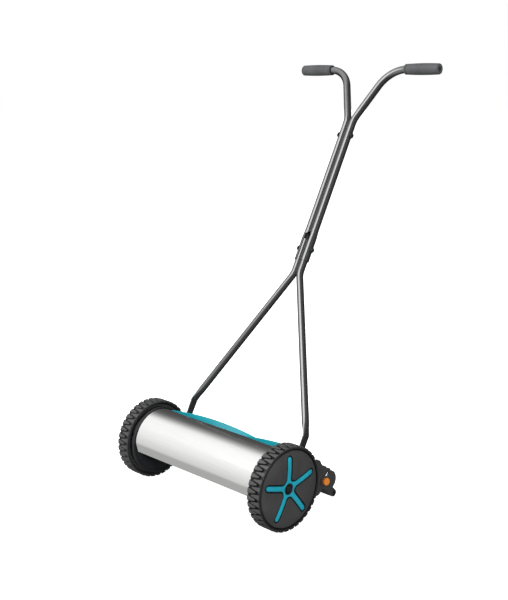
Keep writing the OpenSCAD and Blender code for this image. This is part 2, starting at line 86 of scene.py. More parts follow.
WHEEL_R = (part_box("tyre_left")[1].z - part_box("tyre_left")[0].z) / 2 / MM
WHEEL_IN = low_x("tyre_left")
WHEEL_OUT = high_x("tyre_left")
TREAD_BASE_R = 94.6
SHOULDER_R = 97
RIM_R = 90
RIM_BORE_R = 84
LUGS = 36
LUG_BASE_HALF = 6.3
LUG_TIP_HALF = 2.7
LUG_TIP_AT = 22.8
ARMS = 5
ARM_HALF = 6.2
ARM_FILLET = 12
ARM_REACH = 78
FIRST_ARM = 91
GROOVE_GAP = 3
GROOVE_DEPTH = 3.4
FACE_BULGE = 1.2
FACE_T = 7.8
CROWN_R = 64
BOWL_DEPTH, BOWL_W = 4.6, 52
CROWN_DROP, CROWN_W = 2.4, 24
HUB_HOLE = 11
HUB_COLLAR = 13
HUB_R = 15
HUB_BORE_R = 10
HUB_IN = 218

REEL_Y = (middle("reel_shaft").y - AXLE_Y) / MM
REEL_Z = middle("reel_shaft").z / MM
BLADES = 5
REEL_TOP = max(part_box(f"reel_blade_{i}")[1].z for i in range(1, BLADES + 1)) / MM
REEL_R = REEL_TOP - REEL_Z

HANDLE_LEAN = math.radians(62.36)
HANDLE_FOOT = (66.26, 99.76)


def world(x, y, z):
    return (x * MM, AXLE_Y + y * MM, z * MM)


def on_handle(x, s, n):
    """A point of the handle: x across, s along its plane and n square to it."""
    c, d = math.cos(HANDLE_LEAN), math.sin(HANDLE_LEAN)
    return world(x, HANDLE_FOOT[0] + s * c - n * d, HANDLE_FOOT[1] + s * d + n * c)


def polar(r, degrees):
    a = math.radians(degrees)
    return r * math.cos(a), r * math.sin(a)


def smooth(low, high, value):
    t = max(0.0, min(1.0, (value - low) / (high - low)))
    return t * t * (3 - 2 * t)


def mix(a, b, t):
    return a + (b - a) * t


def steps(low, high, count):
    """count + 1 even values from low to high."""
    return [low + (high - low) * i / count for i in range(count + 1)]


# ------------------------------------------------------------------ materials

def new_material(name, rough, metallic=0.0, specular=0.5, coat=0.0):
    """A material whose even settings sit on the shader, and the nodes that vary it."""
    material = bpy.data.materials.new(name)
    material.use_nodes = True
    tree = material.node_tree
    shader = tree.nodes["Principled BSDF"]
    shader.inputs["Roughness"].default_value = rough
    shader.inputs["Metallic"].default_value = metallic
    shader.inputs["Specular IOR Level"].default_value = specular
    shader.inputs["Coat Weight"].default_value = coat
    shader.inputs["Coat Roughness"].default_value = 0.1
    shader.inputs["Coat IOR"].default_value = 2.4
    return material, tree, shader


def node(tree, kind, **settings):
    made = tree.nodes.new(kind)
    for key, value in settings.items():
        setattr(made, key, value)
    return made


def noise(tree, scale, stretch=(1, 1, 1), detail=3.0, rough=0.55):
    """Noise in the object's own metres, scale features to the metre."""
    place = node(tree, "ShaderNodeTexCoord")
    size = node(tree, "ShaderNodeMapping")
    size.inputs["Scale"].default_value = stretch
    texture = node(tree, "ShaderNodeTexNoise")
    texture.inputs["Scale"].default_value = scale
    texture.inputs["Detail"].default_value = detail
    texture.inputs["Roughness"].default_value = rough
    tree.links.new(place.outputs["Object"], size.inputs["Vector"])
    tree.links.new(size.outputs["Vector"], texture.inputs["Vector"])
    return texture.outputs["Fac"]


def ramp(tree, value, low, high, at=(0.3, 0.7)):
    """A colour between low and high as value goes between the two stops."""
    made = node(tree, "ShaderNodeValToRGB")
    for stop, colour, place in zip(made.color_ramp.elements, (low, high), at):
        stop.color = (*colour, 1)
        stop.position = place
    tree.links.new(value, made.inputs["Fac"])
    return made.outputs["Color"]


def vary(tree, shader, socket, value, low, high):
    made = node(tree, "ShaderNodeMapRange")
    made.inputs["From Min"].default_value = 0.3
    made.inputs["From Max"].default_value = 0.7
    made.inputs["To Min"].default_value = low
    made.inputs["To Max"].default_value = high
    tree.links.new(value, made.inputs["Value"])
    tree.links.new(made.outputs["Result"], shader.inputs[socket])


def relief(tree, shader, height, depth, round_edge=0.0):
    """Bump of a real depth in metres, over edges rounded by a bevel where asked."""
    bump = node(tree, "ShaderNodeBump")
    bump.inputs["Distance"].default_value = depth
    tree.links.new(height, bump.inputs["Height"])
    if round_edge:
        bevel = node(tree, "ShaderNodeBevel", samples=4)
        bevel.inputs["Radius"].default_value = round_edge
        tree.links.new(bevel.outputs["Normal"], bump.inputs["Normal"])
    tree.links.new(bump.outputs["Normal"], shader.inputs["Normal"])


def painted_crevice_shade(tree, colour, reach=0.008):
    """The colour darkened by painted shade where neighbouring surfaces close in."""
    near = node(tree, "ShaderNodeAmbientOcclusion", samples=6)
    near.inputs["Distance"].default_value = reach
    deeper = node(tree, "ShaderNodeVectorMath", operation="SCALE")
    tree.links.new(colour, near.inputs["Color"])
    tree.links.new(near.outputs["Color"], deeper.inputs[0])
    tree.links.new(near.outputs["AO"], deeper.inputs["Scale"])
    return deeper.outputs["Vector"]


def shades(tree, value, colour, darkest, lightest):
    """The colour between two shares of itself as value changes."""
    return ramp(tree, value, [darkest * c for c in colour],
        [min(1, lightest * c) for c in colour])


def moulded(name, colour, rough, grain=900, specular=0.3):
    """Moulded plastic or rubber: a fine spark-eroded grain, slightly uneven gloss and
    painted shade in its crevices.
    """
    material, tree, shader = new_material(name, rough, specular=specular)
    # The base colour carries painted shade where neighbouring surfaces close in.
    shade = painted_crevice_shade(tree, shades(tree, noise(tree, 25), colour, 0.86, 1.12))
    tree.links.new(shade, shader.inputs["Base Color"])
    vary(tree, shader, "Roughness", noise(tree, 60), rough - 0.06, rough + 0.06)
    relief(tree, shader, noise(tree, grain, detail=2), 0.00004, 0.0005)
    return material


def painted(name, colour, rough, coat):
    """Powder coat over steel: orange-peel waves under a clear, glossy skin."""
    material, tree, shader = new_material(name, rough, specular=0.4, coat=coat)
    shade = shades(tree, noise(tree, 12), colour, 0.9, 1.08)
    tree.links.new(shade, shader.inputs["Base Color"])
    vary(tree, shader, "Roughness", noise(tree, 40), rough - 0.04, rough + 0.04)
    relief(tree, shader, noise(tree, 350, detail=1), 0.00001, 0.0004)
    return material


def bare_metal(name, colour, rough, stretch=(1, 1, 1)):
    """Bare or plated metal with fine scratches, drawn out along one way by stretch."""
    material, tree, shader = new_material(name, rough, metallic=1.0)
    scratch = noise(tree, 700, stretch, detail=4)
    shade = shades(tree, scratch, colour, 0.85, 1.08)
    tree.links.new(shade, shader.inputs["Base Color"])
    vary(tree, shader, "Roughness", noise(tree, 30), rough - 0.05, rough + 0.08)
    relief(tree, shader, scratch, 0.000008, 0.0003)
    return material


def brushed_cover():
    """Polished stainless sheet, brushed along the mower's width."""
    material, tree, shader = new_material("cover_steel", 0.2, metallic=1.0)
    along = (0.03, 1, 1)
    fine = noise(tree, 900, along, detail=3, rough=0.6)
    bright = ramp(tree, fine, (0.80, 0.802, 0.80), (0.86, 0.862, 0.86))
    tree.links.new(bright, shader.inputs["Base Color"])
    vary(tree, shader, "Roughness", noise(tree, 300, along, detail=2), 0.17, 0.24)
    relief(tree, shader, fine, 0.000001)
    return material


def tread_rubber():
    """Black rubber, with painted shade that darkens it from the lug tops down into the
    gaps.
    """
    material, tree, shader = new_material("tread", 0.42)
    place = node(tree, "ShaderNodeTexCoord")
    from_axle = node(tree, "ShaderNodeVectorMath", operation="SUBTRACT")
    from_axle.inputs[1].default_value = (0, AXLE_Y, AXLE_Z * MM)
    square = node(tree, "ShaderNodeVectorMath", operation="MULTIPLY")
    square.inputs[1].default_value = (0, 1, 1)
    radius = node(tree, "ShaderNodeVectorMath", operation="LENGTH")
    height = node(tree, "ShaderNodeMapRange")
    height.inputs["From Min"].default_value = (TREAD_BASE_R - 1.5) * MM
    height.inputs["From Max"].default_value = WHEEL_R * MM
    tree.links.new(place.outputs["Object"], from_axle.inputs[0])
    tree.links.new(from_axle.outputs["Vector"], square.inputs[0])
    tree.links.new(square.outputs["Vector"], radius.inputs[0])
    tree.links.new(radius.outputs["Value"], height.inputs["Value"])
    # Painted shade: the colour gets darker with less radius, down the lugs' sides into the
    # gaps.
    shade = ramp(tree, height.outputs["Result"], (0.020, 0.020, 0.020),
        (0.058, 0.058, 0.059), (0.2, 0.9))
    # More painted shade where neighbouring surfaces close in.
    tree.links.new(painted_crevice_shade(tree, shade), shader.inputs["Base Color"])
    vary(tree, shader, "Roughness", noise(tree, 60), 0.34, 0.48)
    relief(tree, shader, noise(tree, 500, detail=2), 0.00006, 0.0005)
    return material


MATERIALS = {
    "cover_steel": brushed_cover(),
    "black_steel": painted("black_steel", (0.052, 0.052, 0.054), 0.45, 0.05),
    "black_plastic": moulded("black_plastic", (0.020, 0.021, 0.023), 0.5),
    "wheel_plastic": moulded("wheel_plastic", (0.056, 0.056, 0.057), 0.38, specular=0.5),
    "tread": tread_rubber(),
    "teal_plastic": moulded("teal_plastic", (0.011, 0.34, 0.45), 0.35, specular=0.35),
    "teal_paint": painted("teal_paint", (0.006, 0.28, 0.34), 0.4, 0.0),
    "frame_paint": painted("frame_paint", (0.033, 0.034, 0.036), 0.25, 0.9),
    "zinc_steel": bare_metal("zinc_steel", (0.55, 0.56, 0.58), 0.35),
    "knife_steel": bare_metal("knife_steel", (0.5, 0.5, 0.52), 0.28, (0.02, 1, 1)),
    "bronze": bare_metal("bronze", (0.50, 0.33, 0.15), 0.4),
    "nylon": moulded("nylon", (0.62, 0.59, 0.52), 0.45),
    "grip_rubber": moulded("grip_rubber", (0.085, 0.087, 0.09), 0.5, grain=700),
    "orange_plastic": moulded("orange_plastic", (0.85, 0.26, 0.032), 0.35, specular=0.4),
}


# ------------------------------------------------------------------ mesh building

def loft(rings, closed_ring=True, closed_path=False, capped=False):
    """Quads between neighbouring rings of points."""
    count, size = len(rings), len(rings[0])
    faces = []
    for k in range(count if closed_path else count - 1):
        a, b = k * size, (k + 1) % count * size
        for i in range(size if closed_ring else size - 1):
            j = (i + 1) % size
            faces.append((a + i, a + j, b + j, b + i))
    if capped:
        faces.append(tuple(range(size)))
        faces.append(tuple(range((count - 1) * size, count * size)))
    return [p for ring in rings for p in ring], faces


def joined(*shells):
    """Several (points, faces) shells as one."""
    points, faces = [], []
    for more_points, more_faces in shells:
        start = len(points)
        points += more_points
        faces += [tuple(start + i for i in face) for face in more_faces]
    return points, faces


def piece(name, shell, material, body, *nodes, sharp=35):
    """A finished object in the frame that rides on a body and stands for CAD nodes."""
    mesh = bpy.data.meshes.new(name)
    mesh.from_pydata(shell[0], [], shell[1])
    work = bmesh.new()
    work.from_mesh(mesh)
    bmesh.ops.remove_doubles(work, verts=work.verts, dist=0.000002)
    bmesh.ops.dissolve_degenerate(work, edges=work.edges, dist=0.000001)
    bmesh.ops.recalc_face_normals(work, faces=work.faces)
    work.to_mesh(mesh)
    work.free()
    mesh.shade_smooth()
    mesh.set_sharp_from_angle(angle=math.radians(sharp))
    mesh.materials.append(MATERIALS[material])
    made = bpy.data.objects.new(name, mesh)
    bpy.context.scene.collection.objects.link(made)
    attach(made, body)
    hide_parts(*nodes)
    return made


def lathe(profile, y, z, side=1, closed=False, count=96):
    """Turns a profile of (radius, x) points about an axis along X through y and z."""
    rings = []
    for r, x in profile:
        around = [polar(r, 360 * i / count) for i in range(count)]
        rings.append([world(side * x, y + p, z + q) for p, q in around])
    return loft(rings, closed_path=closed)


def strip_cap(start, size):
    """Faces that close a ring of size points whose second half mirrors its first."""
    faces = []
    for i in range(size // 2 - 1):
        mirror = size - 1 - i
        faces.append((start + i, start + i + 1, start + mirror - 1, start + mirror))
    if size % 2:
        tip = start + size // 2
        faces.append((tip - 1, tip, tip + 1))
    return faces


# ------------------------------------------------------------------ wheels

def on_wheel(side, x, r, turn):
    """A wheel's point at x, by its radius and its angle about the axle."""
    y, z = polar(r, turn)
    return world(side * x, y, AXLE_Z + z)


def face_x(r):
    """The wheel's outer face: a shallow bowl round the hub, crowned near the rim."""
    inwards = BOWL_DEPTH * max(0, CROWN_R - r) ** 2 / BOWL_W ** 2
    outwards = CROWN_DROP * max(0, r - CROWN_R) ** 2 / CROWN_W ** 2
    return WHEEL_OUT + FACE_BULGE - inwards - outwards


def star_points(grow):
    """The star's outline, grown by so many millimetres, as (radius, angle) points."""
    half = ARM_HALF + grow
    fillet = ARM_FILLET - grow
    sector = 180 / ARMS
    reach = (ARM_HALF + ARM_FILLET) / math.sin(math.radians(sector))
    centre = polar(reach, -sector)
    tip = ARM_REACH - ARM_HALF
    rising = []
    for turn in steps(180 - sector, 90, 7):
        p, q = polar(fillet, turn)
        rising.append((centre[0] + p, centre[1] + q))
    start = rising[-1][0]
    rising += [(mix(start, tip, t), -half) for t in steps(0.12, 0.94, 7)]
    rising += [(tip + p, q) for p, q in (polar(half, turn) for turn in steps(-90, 0, 7))]
    arm = rising + [(x, -y) for x, y in reversed(rising[1:-1])]
    points = []
    for i in range(ARMS):
        for x, y in arm:
            turn = math.degrees(math.atan2(y, x)) + FIRST_ARM + 360 / ARMS * i
            points.append((math.hypot(x, y), turn))
    return points


STAR_TURNS = [turn for _, turn in star_points(0)]


def star_ring(side, grow, x_of):
    """A ring along the star's outline at the height that x_of gives for its radius."""
    return [on_wheel(side, x_of(r), r, turn) for r, turn in star_points(grow)]


def round_ring(side, r, x):
    return [on_wheel(side, x, r, turn) for turn in STAR_TURNS]


def between_ring(side, grow, r_end, t, x_of):
    """A ring part of the way from the star's outline to a circle of radius r_end."""
    between = [(mix(r, r_end, t), turn) for r, turn in star_points(grow)]
    return [on_wheel(side, x_of(r), r, turn) for r, turn in between]


def wheel_rim(name, side):
    """The dished disc with its star-shaped groove, its rim band and its hub."""
    face_in = WHEEL_OUT - FACE_T
    band_in = WHEEL_IN + 8

    def floor_x(r):
        return face_x(r) - GROOVE_DEPTH

    rings = [round_ring(side, r, x) for r, x in (
        (RIM_BORE_R, band_in + 0.6), (RIM_BORE_R + 0.6, band_in), (RIM_R - 0.6, band_in),
        (RIM_R, band_in + 0.6), (RIM_R, WHEEL_OUT - 7), (RIM_R + 0.9, WHEEL_OUT - 6),
        (RIM_R + 1, WHEEL_OUT - 4), (RIM_R + 0.7, WHEEL_OUT - 2.9),
        (RIM_R, WHEEL_OUT - 2.1), (RIM_R - 1.2, WHEEL_OUT - 1.6),
        (RIM_R - 2.6, WHEEL_OUT - 1.15))]
    outer = RIM_R - 4
    rings += [between_ring(side, GROOVE_GAP + 0.9, outer, 1 - t, face_x)
        for t in steps(0, 1, 9)]
    rings += [star_ring(side, GROOVE_GAP + g, lambda r, d=d: face_x(r) - d)
        for g, d in ((0.45, 0.2), (0.1, 0.6), (-0.1, 1.2), (-0.4, 3.1))]
    rings += [star_ring(side, GROOVE_GAP - 0.8, floor_x)]
    rings += [between_ring(side, GROOVE_GAP - 0.8, HUB_COLLAR, t, floor_x)
        for t in (0.4, 0.8, 1)]
    top = face_x(HUB_COLLAR)
    rings += [round_ring(side, r, x) for r, x in (
        (HUB_COLLAR, top - 0.5), (HUB_COLLAR - 0.4, top), (HUB_HOLE + 0.5, top),
        (HUB_HOLE, top - 0.5), (HUB_HOLE, WHEEL_OUT - 5.9), (HUB_BORE_R, WHEEL_OUT - 5.9),
        (HUB_BORE_R, HUB_IN), (HUB_R, HUB_IN), (HUB_R, face_in), (RIM_BORE_R, face_in))]
    piece(f"wheel_rim_{name}_shell", loft(rings, closed_path=True), "wheel_plastic",
        f"wheel_{name}", f"wheel_rim_{name}", sharp=42)


def wheel_star(name, side):
    """The crowned, coloured star that lies in the groove."""
    base = GROOVE_DEPTH - 0.1
    hole = HUB_COLLAR + 0.3
    rings = [star_ring(side, 0, lambda r: face_x(r) - base)]
    rings += [star_ring(side, -g, lambda r, d=d: face_x(r) - d)
        for g, d in ((0, 2.2), (0.2, 1.5), (0.7, 0.9), (1.5, 0.45), (3, 0.2))]
    rings += [between_ring(side, -3, hole + 0.5, t, lambda r: face_x(r) - 0.15)
        for t in (0.25, 0.5, 0.75, 1)]
    top = face_x(hole)
    rings += [round_ring(side, hole, top - 1), round_ring(side, hole, top - base)]
    piece(f"star_{name}_inlay", loft(rings, closed_path=True), "teal_plastic",
        f"wheel_{name}", f"star_{name}")


def lug(side, turn, edge, way):
    """One tapered tread finger, way (1 or -1) from the tread's edge, round at its tip."""
    rings = []
    for r, inset, from_edge in ((TREAD_BASE_R - 0.8, -0.7, 0.8), (WHEEL_R - 2.2, 0, 0),
            (WHEEL_R - 0.8, 0.5, 0.5), (WHEEL_R, 1.5, 1.5)):
        near = [(u, mix(LUG_BASE_HALF, LUG_TIP_HALF, u / LUG_TIP_AT) - inset)
            for u in (from_edge, 6, 12, 18, LUG_TIP_AT)]
        tip = [(LUG_TIP_AT + p, q) for p, q in
            (polar(LUG_TIP_HALF - inset, a) for a in (60, 30, 0))]
        right = near + tip
        outline = right + [(u, -w) for u, w in reversed(right[:-1])]
        rings.append([on_wheel(side, edge + way * u, r, turn + math.degrees(w / WHEEL_R))
            for u, w in outline])
    points, faces = loft(rings)
    size = len(rings[0])
    return points, faces + strip_cap(0, size) + strip_cap(len(points) - size, size)


def tyre(name, side):
    """Two rows of interlocking tread fingers on a band."""
    band = lathe([(RIM_R + 0.05, WHEEL_IN + 8.4), (RIM_R + 0.8, WHEEL_IN + 7.6),
        (SHOULDER_R - 4, WHEEL_IN + 6.4), (SHOULDER_R - 3.6, WHEEL_IN + 1.2),
        (SHOULDER_R - 2.8, WHEEL_IN + 0.4), (SHOULDER_R - 1, WHEEL_IN + 0.4),
        (SHOULDER_R, WHEEL_IN + 1.4), (SHOULDER_R, WHEEL_IN + 2.6),
        (TREAD_BASE_R, WHEEL_IN + 5.5),
        (TREAD_BASE_R, WHEEL_OUT - 5.5), (SHOULDER_R, WHEEL_OUT - 2.6),
        (SHOULDER_R, WHEEL_OUT - 1.6), (SHOULDER_R - 0.8, WHEEL_OUT - 0.7),
        (RIM_R + 2.6, WHEEL_OUT - 0.6), (RIM_R + 1.9, WHEEL_OUT - 1.4),
        (RIM_R + 1.7, WHEEL_OUT - 7), (RIM_R + 0.05, WHEEL_OUT - 7.6)],
        0, AXLE_Z, side, closed=True, count=144)
    shells = [band]
    for i in range(LUGS):
        turn = 360 * i / LUGS - 90
        shells.append(lug(side, turn, WHEEL_IN, 1))
        shells.append(lug(side, turn + 180 / LUGS, WHEEL_OUT, -1))
    piece(f"tyre_{name}_tread", joined(*shells), "tread", f"wheel_{name}",
        f"tyre_{name}", sharp=28)


def hub_cap(name, side):
    """The dark cap in the hub's recess, with a chamfered, dimpled boss."""
    deep = WHEEL_OUT - 5.7
    profile = [(7, deep), (HUB_HOLE - 0.1, deep), (HUB_HOLE - 0.1, deep + 1),
        (8.6, deep + 1.2), (8.2, deep + 1.6), (8.1, WHEEL_OUT - 2.2),
        (7.6, WHEEL_OUT - 1.4), (6.4, WHEEL_OUT - 1), (3.6, WHEEL_OUT - 1),
        (3, WHEEL_OUT - 1.4),
        (0, WHEEL_OUT - 1.5)]
    inside = [(0, deep + 3.4), (6.6, deep + 3.4), (7, deep + 3), (7, deep)]
    piece(f"hub_cap_{name}_boss", lathe(profile + inside, 0, AXLE_Z, side, count=48),
        "black_plastic", f"wheel_{name}", f"hub_cap_{name}")


for side_name, side_sign in SIDES.items():
    wheel_rim(side_name, side_sign)
    wheel_star(side_name, side_sign)
    tyre(side_name, side_sign)
    hub_cap(side_name, side_sign)


# ------------------------------------------------------------------ front cover

COVER_AT = (-4, 108)
COVER_R = 74
COVER_T = 1.5
COVER_TOP = 67
COVER_FOLD = 178.1
LIP_ANGLE = -76.5
LIP_W = 24.8
FLANGE_START, FLANGE_END = 71, 176
FLANGE_W = 12
COVER_X = high_x("front_cover")


def cover_path():
    """The middle line of the sheet: the arc, a softened fold and the flat lip."""
    r = COVER_R - COVER_T / 2
    path = []
    for turn in steps(COVER_TOP, COVER_FOLD - 1.2, 72):
        y, z = polar(r, turn)
        path.append((COVER_AT[0] + y, COVER_AT[1] + z, turn))
    fold = polar(r, COVER_FOLD)
    out = LIP_ANGLE - 90
    for reach in (1.4, 2.2, 8, 16, LIP_W - 0.7):
        y, z = polar(reach, LIP_ANGLE)
        path.append((COVER_AT[0] + fold[0] + y, COVER_AT[1] + fold[1] + z, out % 360))
    return path


def cover_ring(x, thick):
    """The sheet's outline at x: along its outer side and back along its inner side."""
    outer, inner = [], []
    for y, z, turn in cover_path():
        p, q = polar(thick / 2, turn)
        outer.append(world(x, y + p, z + q))
        inner.append(world(x, y - p, z - q))
    return outer + inner[::-1]


def front_cover():
    """The sheet with eased ends, and the narrow curved flange inside each end."""
    near_end = [(COVER_X - 1.5, COVER_T), (COVER_X - 0.8, COVER_T),
        (COVER_X - 0.4, COVER_T), (COVER_X - 0.12, 1.2), (COVER_X, 0.7)]
    ends = [(-x, thick) for x, thick in reversed(near_end)]
    ends += [(x, COVER_T) for x in (-120, -40, 40, 120)] + near_end
    rings = [cover_ring(x, thick) for x, thick in ends]
    points, faces = loft(rings)
    size = len(rings[0])
    shells = [(points, faces + strip_cap(0, size) + strip_cap(len(points) - size, size))]
    edge_r = COVER_R - 1 - FLANGE_W
    for side in SIDES.values():
        rings = []
        for turn in steps(FLANGE_START, FLANGE_END, 44):
            ring = []
            for r, x in ((edge_r, 0.9), (edge_r + 0.4, 0.3), (edge_r + 1, 0.1),
                    (COVER_R - 1, 0.1), (COVER_R - 1, 1.4), (edge_r + 0.4, 1.4)):
                y, z = polar(r, turn)
                ring.append(world(side * (COVER_X - x), COVER_AT[0] + y, COVER_AT[1] + z))
            rings.append(ring)
        shells.append(loft(rings, capped=True))
    piece("front_cover_sheet", joined(*shells), "cover_steel", "chassis", "front_cover",
        sharp=30)


front_cover()


# ------------------------------------------------------------------ handle

LEG_R = 9
TUBE_R = 9.5
LEG_X = LEG_R + 0.4
UPPER_X = TUBE_R + 0.4
FLAT_X = 197.5
FLAT_W = 21
FLAT_T = 4
FLAT_START = 9.5
FLAT_TO_ROUND = (56, 112)
KINK_S = 97.3
KINK_BEND, LEG_BEND = 14, 45
LEG_SLOPE = 26.4
LEG_END = 569
SPLIT_S = KINK_S + (FLAT_X - LEG_X) / math.tan(math.radians(LEG_SLOPE))
TUBE_T = 1.5
CUP_R = 11
CUP_HALF_WRAP = 92
CUP_START = 512
MOUTH_START = 572
MOUTH_END = 592
TOP_SPLIT = 905
HANDLE_LEN = 1047
FORK_ANGLE = 24.2
FORK_BEND, GRIP_BEND = 60, 80
GRIP_START = 126.5
GRIP_END = high_x("grip_left")
LOWER_BOLT = 543.5
UPPER_BOLT = 860


def route(corners, radii, gap=3.0):
    """Points (x, s, heading) along straight runs joined by bends of the given radii.

    Heading is the angle of travel from the s axis towards +x, in radians."""
    found = []
    last = len(corners) - 1
    heads = [math.atan2(b[0] - a[0], b[1] - a[1]) for a, b in zip(corners, corners[1:])]
    start = corners[0]
    for i in range(last):
        end = corners[i + 1]
        turn = heads[i + 1] - heads[i] if i + 1 < last else 0
        back = radii[i] * math.tan(abs(turn) / 2) if turn else 0
        way = (math.sin(heads[i]), math.cos(heads[i]))
        stop = (end[0] - back * way[0], end[1] - back * way[1])
        length = math.dist(start, stop)
        count = max(2, round(length / 14))
        found += [(mix(start[0], stop[0], t), mix(start[1], stop[1], t), heads[i])
            for t in steps(0, 1, count)]
        if not turn:
            continue
        hand = math.copysign(1, turn)
        centre = (stop[0] + hand * radii[i] * way[1], stop[1] - hand * radii[i] * way[0])
        count = max(3, round(abs(turn) * radii[i] / gap))
        for t in steps(0, 1, count)[1:]:
            head = heads[i] + turn * t
            start = (centre[0] - hand * radii[i] * math.cos(head),
                centre[1] + hand * radii[i] * math.sin(head))
            found.append((start[0], start[1], head))
    tidy = [found[0]]
    for point in found[1:]:
        if math.dist(point[:2], tidy[-1][:2]) > 0.05:
            tidy.append(point)
    return tidy


def section_ring(side, at, section):
    """A section of (across, normal) points, set square to the route at a point."""
    x, s, head = at
    return [on_handle(side * (x + a * math.cos(head)), s - a * math.sin(head), n)
        for a, n in section]


def flat_section(count, thick, width):
    """A pressed-flat tube: two flat faces joined by round edges, evenly spaced."""
    r = thick / 2
    straight = width - thick
    total = 2 * straight + 2 * math.pi * r
    points = []
    for i in range(count):
        d = (i / count * total + straight / 2) % total
        if d < straight:
            points.append((r, d - straight / 2))
        elif d < straight + math.pi * r:
            p, q = polar(r, math.degrees((d - straight) / r))
            points.append((p, straight / 2 + q))
        elif d < 2 * straight + math.pi * r:
            points.append((-r, straight / 2 - (d - straight - math.pi * r)))
        else:
            turn = math.degrees((d - 2 * straight - math.pi * r) / r)
            p, q = polar(r, turn)
            points.append((-p, -straight / 2 - q))
    return points


def round_section(count, r):
    return [polar(r, 360 * i / count) for i in range(count)]


def leg(name, side):
    """A lower leg: a tube pressed flat at its foot, kinked inwards and bent upright."""
    count = 40
    path = route([(FLAT_X, FLAT_START), (FLAT_X, KINK_S), (LEG_X, SPLIT_S),
        (LEG_X, LEG_END)], [KINK_BEND, LEG_BEND])
    path = [p for p in path if p[1] > FLAT_START + 10]
    rings = []
    for back in (0, 0.6, 2, 4, 6.5, 9):
        half = math.sqrt(max(0.3, (FLAT_W / 2) ** 2 - (FLAT_W / 2 - back) ** 2))
        thick = FLAT_T if back > 0.5 else FLAT_T - 1
        rings.append(section_ring(side, (FLAT_X, FLAT_START + back, 0),
            flat_section(count, min(thick, 1.9 * half), 2 * half)))
    walked = 0
    last = path[0]
    flat = flat_section(count, FLAT_T, FLAT_W)
    tube = round_section(count, LEG_R)
    for at in path:
        walked += math.dist(at[:2], last[:2])
        last = at
        t = smooth(*FLAT_TO_ROUND, walked)
        bulge = 1 + 0.10 * math.sin(math.pi * smooth(40, FLAT_TO_ROUND[1], walked))
        section = [(mix(a, c, t), mix(b, d, t) * bulge)
            for (a, b), (c, d) in zip(flat, tube)]
        rings.append(section_ring(side, at, section))
    end = path[-1]
    for r, s in ((LEG_R - 0.3, 0.3), (LEG_R - TUBE_T, 0.3), (LEG_R - TUBE_T, -40)):
        rings.append(section_ring(side, (end[0], end[1] + s, 0), round_section(count, r)))
    piece(f"leg_{name}_tube", loft(rings, capped=True), "frame_paint", "handle",
        f"leg_{name}")


def upper_tube(name, side):
    """An upper tube: a channel round the leg's outer side that opens into the tube."""
    count = 41  # odd, so that one point stays on the outer side's middle line
    corner = UPPER_X + (HANDLE_LEN - TOP_SPLIT) * math.tan(math.radians(FORK_ANGLE))
    path = route([(UPPER_X, CUP_START), (UPPER_X, TOP_SPLIT), (corner, HANDLE_LEN),
        (GRIP_END - 4, HANDLE_LEN)], [FORK_BEND, GRIP_BEND])
    straight = [CUP_START, CUP_START + 0.4, 514, 518, 526, 536, 546, 556, 566]
    straight += steps(MOUTH_START, MOUTH_END, 10) + [596, 600]
    path = [(UPPER_X, s, 0) for s in straight] + [p for p in path if p[1] > 604]
    outer, inner, rim = [], [], 0
    for i, at in enumerate(path):
        s = at[1]
        wide = 1 - smooth(MOUTH_START - 4, MOUTH_END + 8, s)
        r_out = mix(TUBE_R, CUP_R, wide) - (0.35 if i == 0 else 0)
        r_in = mix(TUBE_R - TUBE_T, LEG_R + 0.35, wide) + (0.35 if i == 0 else 0)
        cut = max(-1.0, min(1.0, 1 - 2 * (s - MOUTH_START) / (MOUTH_END - MOUTH_START)))
        wrap = max(CUP_HALF_WRAP, math.degrees(math.acos(cut)))
        if s <= MOUTH_END:
            rim = i
        if s < CUP_START + 12:
            wrap -= 12 * (1 - (s - CUP_START) / 12) ** 2
        turns = [mix(-wrap, wrap, k / (count - 1)) for k in range(count)]
        outer.append(section_ring(side, at, [polar(r_out, a) for a in turns]))
        inner.append(section_ring(side, at, [polar(r_in, a) for a in turns]))
    skin = loft(outer, closed_ring=False)
    bore = loft(inner, closed_ring=False)
    points, faces = joined(skin, bore)
    offset = len(skin[0])
    for k in (0, len(path) - 1):
        for i in range(count - 1):
            a = k * count + i
            faces.append((a, a + 1, offset + a + 1, offset + a))
    for i in (0, count - 1):
        for k in range(rim):
            a, b = k * count + i, (k + 1) * count + i
            faces.append((a, b, offset + b, offset + a))
    piece(f"upper_tube_{name}_bent", (points, faces), "frame_paint", "handle",
        f"upper_tube_{name}")


def grip(name, side):
    """A soft barrel grip with a collar, a groove beside it and a recessed end."""
    profile = [(TUBE_R + 0.1, GRIP_START - 3), (13, GRIP_START - 3),
        (13.4, GRIP_START - 2.6), (13.4, GRIP_START + 0.2), (13, GRIP_START + 0.7),
        (12.5, GRIP_START + 1), (12.5, GRIP_START + 1.8), (12.8, GRIP_START + 2.4)]
    barrel = GRIP_END - 2 - (GRIP_START + 4)
    for t in steps(0, 1, 40):
        r = 13 + 1.5 * math.sin(math.pi * (0.08 + 0.84 * t)) ** 0.8
        profile.append((r, GRIP_START + 4 + barrel * t))
    profile += [(12.7, GRIP_END - 0.8), (11.6, GRIP_END - 0.1), (10.6, GRIP_END),
        (6.2, GRIP_END), (5.6, GRIP_END - 0.5), (5.2, GRIP_END - 3.4),
        (0, GRIP_END - 3.6), (0, GRIP_END - 3.9), (TUBE_R + 0.1, GRIP_END - 3.9)]
    y = HANDLE_FOOT[0] + HANDLE_LEN * math.cos(HANDLE_LEAN)
    z = HANDLE_FOOT[1] + HANDLE_LEN * math.sin(HANDLE_LEAN)
    piece(f"grip_{name}_barrel", lathe(profile, y, z, side, closed=True, count=64),
        "grip_rubber", "handle", f"grip_{name}")


for side_name, side_sign in SIDES.items():
    leg(side_name, side_sign)
    upper_tube(side_name, side_sign)
    grip(side_name, side_sign)


DOME_FLANGE_R = 8
DOME_R = 6.9
DOME_H = 6.6
DOME_FOOT = 1.5
SHANK_R = 3


